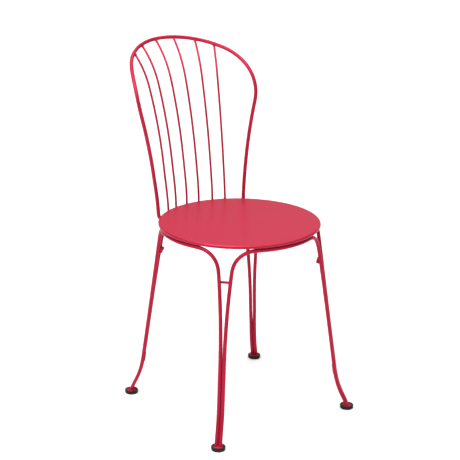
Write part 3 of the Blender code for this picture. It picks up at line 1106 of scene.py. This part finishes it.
@dataclass
class Feet:
    """A steel disc welded under each leg, in a black moulded glide."""

    stock: Stock
    legs: Legs
    disc_radius: float = 0.0135
    disc_thickness: float = 0.0032
    disc_edge: float = 0.0006
    disc_inset: float = 0.6         # a ring of corners in its top, as a share of it
    fillet: float = 0.0030          # of the weld round the rods
    fillet_spread: float = 0.9      # how wide the fillet is for its height
    fillet_sink: float = 0.0002     # how far it is sunk in the disc
    fillet_skin: float = 0.0001     # how far it stands off the rods
    fillet_lump: float = 0.0024
    fillet_rough: float = 0.0007
    fillet_levels: int = 7
    fillet_sides: int = 40
    glide_radius: float = 0.0161
    glide_base: float = 0.0148
    glide_belly: float = 0.0054
    glide_floor: float = 0.0040
    glide_lip: float = 0.0010
    glide_sole: tuple[Flat, ...] = ((0.0, 0.0), (0.0086, 0.0), (0.0089, 0.0005), (0.0103, 0.0005),
                                    (0.0106, 0.0))      # with its groove, as (radius, height)
    sole_edge: Flat = (0.0004, 0.0003)
    parting_line: Flat = (0.0002, 0.0003)               # depth and height of the moulding's parting line
    side_steps: int = 6
    lip_steps: int = 5
    lip_edge: float = 0.0004
    lip_reach: float = 0.0012
    steps: int = 56

    @property
    def disc_bottom(self) -> float:
        """Height of the underside of a disc."""
        return self.glide_floor + self.stock.touch

    @property
    def disc_top(self) -> float:
        """Height of the top of a disc."""
        return self.disc_bottom + self.disc_thickness

    def disc(self, centre: Vector) -> Shell:
        """Make the steel disc, its edge broken.

        Args:
            centre: The middle of the foot.

        Returns:
            The disc's shell.
        """
        edge, bottom, top = self.disc_radius - self.disc_edge, self.disc_bottom, self.disc_top
        profile = [(0.0, bottom), (edge, bottom), (self.disc_radius, bottom + self.disc_edge),
                   (self.disc_radius, top - self.disc_edge), (edge, top), (edge * self.disc_inset, top),
                   (0.0, top)]
        return Shell().turned(profile, self.steps, centre)

    def disc_weld(self, corner: Corner) -> Shell:
        """Make the weld that runs round both rods where they meet the disc.

        Args:
            corner: The leg.

        Returns:
            The weld's shell.
        """
        azimuth = self.legs.azimuth(corner)
        across, outward = level_across(azimuth), around(1.0, azimuth, 0.0)
        rings = []
        for level in range(self.fillet_levels + 1):
            share = level / self.fillet_levels
            rise = self.fillet * (1 - math.cos(QUARTER * share))
            flare = self.fillet * (1 - math.sin(QUARTER * share)) * self.fillet_spread
            height = self.disc_top - self.fillet_sink + rise
            centre = around(self.legs.radius(max(height, self.legs.tip_height)), azimuth, height)
            points = []
            for step in range(self.fillet_sides):
                turn = math.tau * step / self.fillet_sides
                middle = centre + across * math.copysign(self.legs.pair_half, math.cos(turn))
                reach = self.stock.bow_rod / 2 + self.fillet_skin + flare
                point = middle + (across * math.cos(turn) + outward * math.sin(turn)) * reach
                away = (point - middle).normalized()
                rough = lumpy(point, self.fillet_lump, self.fillet_rough * (1 - share))
                points.append(point + away * rough)
            rings.append(points)
        return Shell().loft(rings)

    def glide(self, centre: Vector) -> Shell:
        """Make the moulded cup: a rounded sole, a side with a parting line, and a lip over the disc.

        Args:
            centre: The middle of the foot.

        Returns:
            The cup's shell.
        """
        recess = self.disc_radius + self.stock.touch
        lip, lip_under = self.disc_radius - self.lip_reach, self.disc_top + self.stock.touch
        top = lip_under + self.glide_lip
        edge_in, edge_up = self.sole_edge
        profile = [*self.glide_sole, (self.glide_base - edge_in, 0.0), (self.glide_base, edge_up)]
        for step in range(1, self.side_steps + 1):
            angle = QUARTER * step / self.side_steps
            profile.append((self.glide_base + (self.glide_radius - self.glide_base) * math.sin(angle),
                            self.glide_belly - (self.glide_belly - edge_up) * math.cos(angle)))
        depth, rise = self.parting_line
        profile += [(self.glide_radius - depth, self.glide_belly + rise),
                    (self.glide_radius, self.glide_belly + rise * 2), (self.glide_radius, lip_under)]
        for step in range(1, self.lip_steps + 1):
            angle = QUARTER * step / self.lip_steps
            profile.append((recess + (self.glide_radius - recess) * math.cos(angle),
                            lip_under + self.glide_lip * math.sin(angle)))
        profile += [(lip + self.lip_edge, top), (lip, top - self.lip_edge), (lip, lip_under),
                    (recess, lip_under), (recess, self.glide_floor), (0.0, self.glide_floor)]
        return Shell().turned(profile, self.steps, centre)

    def build(self, shop: Workshop) -> None:
        """Make the four feet.

        Args:
            shop: The workshop that takes them.
        """
        for corner in Corner:
            centre = around(self.legs.foot_radius, self.legs.azimuth(corner), 0.0)
            shop.add_coated(f"{corner.label}_disc", f"{corner.label}_foot_disc",
                            [(self.disc(centre), CoatGrade.ROD), (self.disc_weld(corner), CoatGrade.WELD)],
                            sharp=50.0)
            shop.add(f"{corner.label}_glide_moulded", [(self.glide(centre), shop.moulding)], "black_glide",
                     f"{corner.label}_glide")


@dataclass
class Back:
    """The hoop of bent rod and its six fanned spindles."""

    stock: Stock
    seat: Seat
    legs: Legs
    radius: float = 0.1936
    lean: float = math.radians(3.94)
    bend: float = 1.1270
    bend_length: float = 0.2990
    flare: float = 0.2280
    section_shift: float = 0.2324
    section_level: float = 0.1663
    hoop_foot: float = 0.1349
    hoop_splay: float = math.radians(3.4)
    side_bend: float = 0.8400
    side: float = 0.2502
    shoulder: float = 0.1110
    crown_angle: float = math.radians(60.0)
    side_steps: int = 40
    crown_steps: int = 20
    places: tuple[float, ...] = (-2.46, -1.54, -0.5, 0.5, 1.54, 2.46)      # of the spindles, in pitches
    pitch: float = math.radians(8.82)
    fan: float = math.radians(2.79)
    spindle_foot_bend: float = 0.0050
    draw_in: float = 0.1000         # how far up from the seat the uprights are drawn in
    stand_off: float = 0.0038
    foot_steps: int = 10
    spindle_steps: int = 60
    spindle_spacing: float = 0.0040
    spindle_sides: int = 16
    hoop_spacing: float = 0.0045
    hoop_sides: int = 20
    easing: int = 2
    spindle_top_weld: Flare = Flare(0.0020, 0.0062, 0.60, 2.2, 0.0003, 8, 16)
    spindle_foot_weld: Flare = Flare(0.0009, 0.0062, 0.60, 2.2, 0.0003, 8, 16)
    hoop_foot_weld: Flare = Flare(0.0004, 0.0040, 0.35, 2.0, 0.0004, 6, 20)
    outline: list[Flat] = field(init=False)

    def __post_init__(self) -> None:
        """Draw the flat half outline of the hoop."""
        points: list[Flat] = [(self.hoop_foot, 0.0)]
        crown_sweep = self.crown_angle - QUARTER
        side, heading = arc(points[-1], self.hoop_splay, self.side_bend, self.side / self.side_bend,
                            self.side_steps)
        points += side
        shoulder, heading = arc(points[-1], heading, self.shoulder, -(heading + self.crown_angle),
                                self.side_steps)
        points += shoulder
        crown, _ = arc(points[-1], heading, points[-1][0] / math.cos(self.crown_angle), crown_sweep,
                       self.crown_steps)
        self.outline = points + crown

    def profile(self, along: float) -> Flat:
        """Follow the back's profile up its middle.

        Args:
            along: Distance along the profile from the seat.

        Returns:
            Radius and height there.
        """
        slow = min(along, self.bend_length)
        bent = self.lean + slow / self.bend
        radius = self.radius + self.bend * (math.cos(self.lean) - math.cos(bent))
        height = self.seat.height + self.bend * (math.sin(bent) - math.sin(self.lean))
        flared = bent + (along - slow) / self.flare
        radius += self.flare * (math.cos(bent) - math.cos(flared))
        return radius, height + self.flare * (math.sin(flared) - math.sin(bent))

    def section(self, along: float) -> float:
        """Radius of the back's section at a distance along its profile."""
        return self.profile(along)[0] - self.section_shift * (along - self.section_level)

    def point(self, angle: float, along: float) -> Vector:
        """The point of the back's surface at an angle round its section."""
        section, (radius, height) = self.section(along), self.profile(along)
        return Vector((section * math.sin(angle), radius - section * (1 - math.cos(angle)), height))

    def drawn_in(self, point: Vector, along: float, clear: float) -> Vector:
        """Draw an upright in near the seat.

        Args:
            point: A point of its centre line.
            along: Distance of the point along the back's profile.
            clear: Distance of the upright's lowest point from the seat's edge.

        Returns:
            Where the point goes.
        """
        share = max(1 - along / self.draw_in, 0.0) ** 2
        scale = 1 + share * ((self.seat.radius + clear) / math.hypot(point.x, point.y) - 1)
        return Vector((point.x * scale, point.y * scale, point.z))

    def foot(self, top: Vector, bend: float, end_radius: float, end_height: float) -> list[Vector]:
        """Draw an upright's foot, which runs in under the seat's edge.

        Args:
            top: The upright's lowest point.
            bend: Radius of the foot's bend.
            end_radius: Distance of its welded end from the seat's axis.
            end_height: Height of that end.

        Returns:
            The points, from the welded end up.
        """
        radius, azimuth = math.hypot(top.x, top.y), math.atan2(top.x, top.y)
        path = [around(end_radius, azimuth, end_height)]
        for step in range(self.foot_steps + 1):
            angle = QUARTER * step / self.foot_steps
            path.append(around(radius - bend + bend * math.sin(angle), azimuth,
                               end_height + bend - bend * math.cos(angle)))
        return path

    def hoop_path(self) -> list[Vector]:
        """Draw the hoop: in under the seat, up one side, over the crown and down the other.

        Returns:
            The points of the rod's centre line.
        """
        clear = self.stock.hoop_rod / 2 + self.stand_off
        rising = [self.drawn_in(self.point(across / self.section(along), along), along, clear)
                  for across, along in self.outline]
        bend = (self.seat.bead + self.stock.hoop_rod) / 2 + self.stock.touch
        side = self.foot(rising[0], bend, self.seat.ring_outside + self.stock.touch,
                         self.seat.bead_centre[1] - bend) + rising
        return side + [Vector((-point.x, point.y, point.z)) for point in reversed(side[:-1])]

    def spindle_angle(self, place: float, along: float) -> float:
        """Angle round the section of a spindle that is so many pitches from the middle."""
        return place * (self.pitch + self.fan * along / self.outline[-1][1])

    def spindle_length(self, place: float) -> float:
        """Find where a spindle meets the underside of the hoop.

        Args:
            place: The spindle's place, in pitches from the middle.

        Returns:
            The distance along the back's profile.
        """
        for inner, outer in zip(self.outline[::-1], self.outline[-2::-1]):
            miss = [abs(self.spindle_angle(place, along)) * self.section(along) - across
                    for across, along in (inner, outer)]
            if miss[0] >= 0.0 >= miss[1]:
                share = miss[0] / (miss[0] - miss[1])
                slope = math.hypot(1.0, (outer[1] - inner[1]) / (outer[0] - inner[0]))
                meet = inner[1] + share * (outer[1] - inner[1])
                return (meet - (self.stock.hoop_rod / 2 + self.stock.touch) * slope
                        - self.stock.spindle_rod / 2 * abs(slope ** 2 - 1) ** 0.5)
        return self.outline[-1][1]

    def spindle(self, place: float) -> tuple[Shell, Shell]:
        """Make a spindle.

        Args:
            place: Its place, in pitches from the middle.

        Returns:
            The rod, and the welds at its foot and at its top.
        """
        size, clear = self.stock.spindle_rod / 2, self.stock.spindle_rod / 2 + self.stock.touch
        length = self.spindle_length(place)
        rising = []
        for step in range(self.spindle_steps + 1):
            along = length * step / self.spindle_steps
            rising.append(self.drawn_in(self.point(self.spindle_angle(place, along), along), along, clear))
        end_radius = self.legs.bow_radius + self.stock.bow_rod / 2 + self.stock.touch
        path = self.foot(rising[0], self.spindle_foot_bend, end_radius, self.legs.bow_top) + rising
        rod = Shell().rod(eased(evenly(path, self.spindle_spacing), self.easing), size, self.spindle_sides)
        welds = Shell()
        self.spindle_top_weld.lay(welds, path[-1], path[-2], size)
        self.spindle_foot_weld.lay(welds, path[0], path[1], size)
        return rod, welds

    def hoop(self) -> tuple[Shell, Shell]:
        """Make the hoop.

        Returns:
            The rod, and the welds where its feet meet the bar ring.
        """
        path = self.hoop_path()
        size = self.stock.hoop_rod / 2
        rod = Shell().rod(eased(evenly(path, self.hoop_spacing), self.easing), size, self.hoop_sides)
        welds = Shell()
        self.hoop_foot_weld.lay(welds, path[0], path[1], size)
        self.hoop_foot_weld.lay(welds, path[-1], path[-2], size)
        return rod, welds

    def build(self, shop: Workshop) -> None:
        """Make the hoop and the spindles.

        Args:
            shop: The workshop that takes them.
        """
        uprights = {"back_hoop": self.hoop()}
        for number, place in enumerate(self.places, start=1):
            uprights[f"back_spindle_{number}"] = self.spindle(place)
        for name, (rod, welds) in uprights.items():
            shop.add_coated(name, name, [(rod, CoatGrade.ROD), (welds, CoatGrade.WELD)])


# The studio

@dataclass
class PhotoCamera:
    """The camera that took the photograph, as worked out from the chair in it."""

    azimuth: float = -0.64032       # of the camera from the seat's axis, measured from the front
    distance: float = 2.85275
    height: float = 1.34511
    yaw: float = 0.03519
    pitch: float = 0.28947
    focal_pixels: float = 1276.95
    centre: Flat = (-33.570, -25.144)       # of the optical axis, from the image's middle, in pixels
    image_pixels: int = 460
    sensor: float = 36.0

    def build(self, axis: Vector) -> None:
        """Set the camera up about the seat's axis and make it the scene's.

        Args:
            axis: Where the seat's axis meets the floor.
        """
        data = bpy.data.cameras.new("photo_camera")
        data.sensor_width = self.sensor
        data.lens = self.focal_pixels * self.sensor / self.image_pixels
        data.shift_x = -self.centre[0] / self.image_pixels
        data.shift_y = self.centre[1] / self.image_pixels
        camera = placed("photo_camera", data)
        backward = from_front(math.cos(self.pitch), self.azimuth + self.yaw, math.sin(self.pitch))
        right = UP.cross(backward).normalized()
        up = backward.cross(right)
        place = Matrix.Translation(axis + from_front(self.distance, self.azimuth, self.height))
        camera.matrix_world = place @ Matrix((right, up, backward)).transposed().to_4x4()
        bpy.context.scene.camera = camera


@dataclass(frozen=True)
class Softbox:
    """One soft studio light, placed as seen from the photograph's camera."""

    name: str
    bearing: float          # round the chair from the camera's side, positive to its right, in degrees
    elevation: float        # in degrees
    strength: float
    spread: float           # the angle that it fills, in degrees

    def build(self, camera_azimuth: float) -> None:
        """Hang the light.

        Args:
            camera_azimuth: The camera's azimuth, measured from the front.
        """
        data = bpy.data.lights.new(self.name, "SUN")
        data.energy = self.strength
        data.angle = math.radians(self.spread)
        rise = math.radians(self.elevation)
        source = from_front(math.cos(rise), camera_azimuth + math.radians(self.bearing), math.sin(rise))
        light = placed(self.name, data)
        light.rotation_mode = "QUATERNION"
        light.rotation_quaternion = source.to_track_quat("Z", "Y")


@dataclass(frozen=True)
class CloseSoftbox:
    """A square softbox that stands near the chair, so that it lights the back more than the feet."""

    name: str
    bearing: float          # round the chair from the camera's side, positive to its right, in degrees
    reach: float            # along the floor from the seat's axis
    height: float
    aim: float              # height of the point on the seat's axis that it faces
    power: float
    size: float

    def build(self, camera_azimuth: float, axis: Vector) -> None:
        """Hang the light.

        Args:
            camera_azimuth: The camera's azimuth, measured from the front.
            axis: Where the seat's axis meets the floor.
        """
        data = bpy.data.lights.new(self.name, "AREA")
        data.energy = self.power
        data.size = self.size
        offset = from_front(self.reach, camera_azimuth + math.radians(self.bearing), self.height)
        light = placed(self.name, data)
        light.location = axis + offset
        light.rotation_mode = "QUATERNION"
        light.rotation_quaternion = (offset - UP * self.aim).to_track_quat("Z", "Y")


@dataclass
class Studio:
    """Plain pale floor, soft lights and a dim even surround."""

    floor_radius: float = 40.0
    floor_thickness: float = 0.02
    floor_sides: int = 96
    surround: float = 0.03
    softboxes: tuple[Softbox, ...] = (
        Softbox("key_softbox", -55.0, 50.0, 1.0, 40.0),
        Softbox("top_softbox", 0.0, 80.0, 3.5, 110.0),
        Softbox("rear_softbox", 180.0, 20.0, 1.10, 90.0),
    )
    close_softbox: CloseSoftbox = CloseSoftbox("close_softbox", -30.0, 0.55, 1.5, 0.5, 10.0, 0.7)

    def lay_floor(self) -> None:
        """Lay the floor under the chair."""
        radius, under = self.floor_radius, -self.floor_thickness
        shell = Shell().turned([(0.0, 0.0), (radius, 0.0), (radius, under), (0.0, under)], self.floor_sides)
        mesh = bpy.data.meshes.new("studio_floor")
        mesh.from_pydata(shell.corners, [], shell.faces)
        mesh.materials.append(PaleFloor().make())
        floor = placed("studio_floor", mesh)

    def build(self, camera: PhotoCamera, axis: Vector) -> None:
        """Lay the floor and set the lights.

        Args:
            camera: The camera that the lights are placed by.
            axis: Where the seat's axis meets the floor.
        """
        self.lay_floor()
        world = bpy.data.worlds.new("studio_surround")
        world.use_nodes = True
        background = world.node_tree.nodes["Background"]
        background.inputs["Color"].default_value = (1.0, 1.0, 1.0, 1.0)
        background.inputs["Strength"].default_value = self.surround
        bpy.context.scene.world = world
        for softbox in self.softboxes:
            softbox.build(camera.azimuth)
        self.close_softbox.build(camera.azimuth, axis)
        bpy.context.scene.view_settings.view_transform = "Standard"


def main() -> None:
    """Build the chair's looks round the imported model, then the studio and the camera."""
    logging.basicConfig(level=logging.INFO, format="%(name)s: %(message)s")
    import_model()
    shop = Workshop()
    camera = PhotoCamera()
    camera.build(shop.axis)
    stock = Stock()
    seat = Seat(stock)
    legs = Legs(stock, seat)
    for assembly in (seat, legs, Feet(stock, legs), Back(stock, seat, legs)):
        assembly.build(shop)
        LOG.info("%s done", type(assembly).__name__)
    Studio().build(camera, shop.axis)


if __name__ == "__main__":
    main()
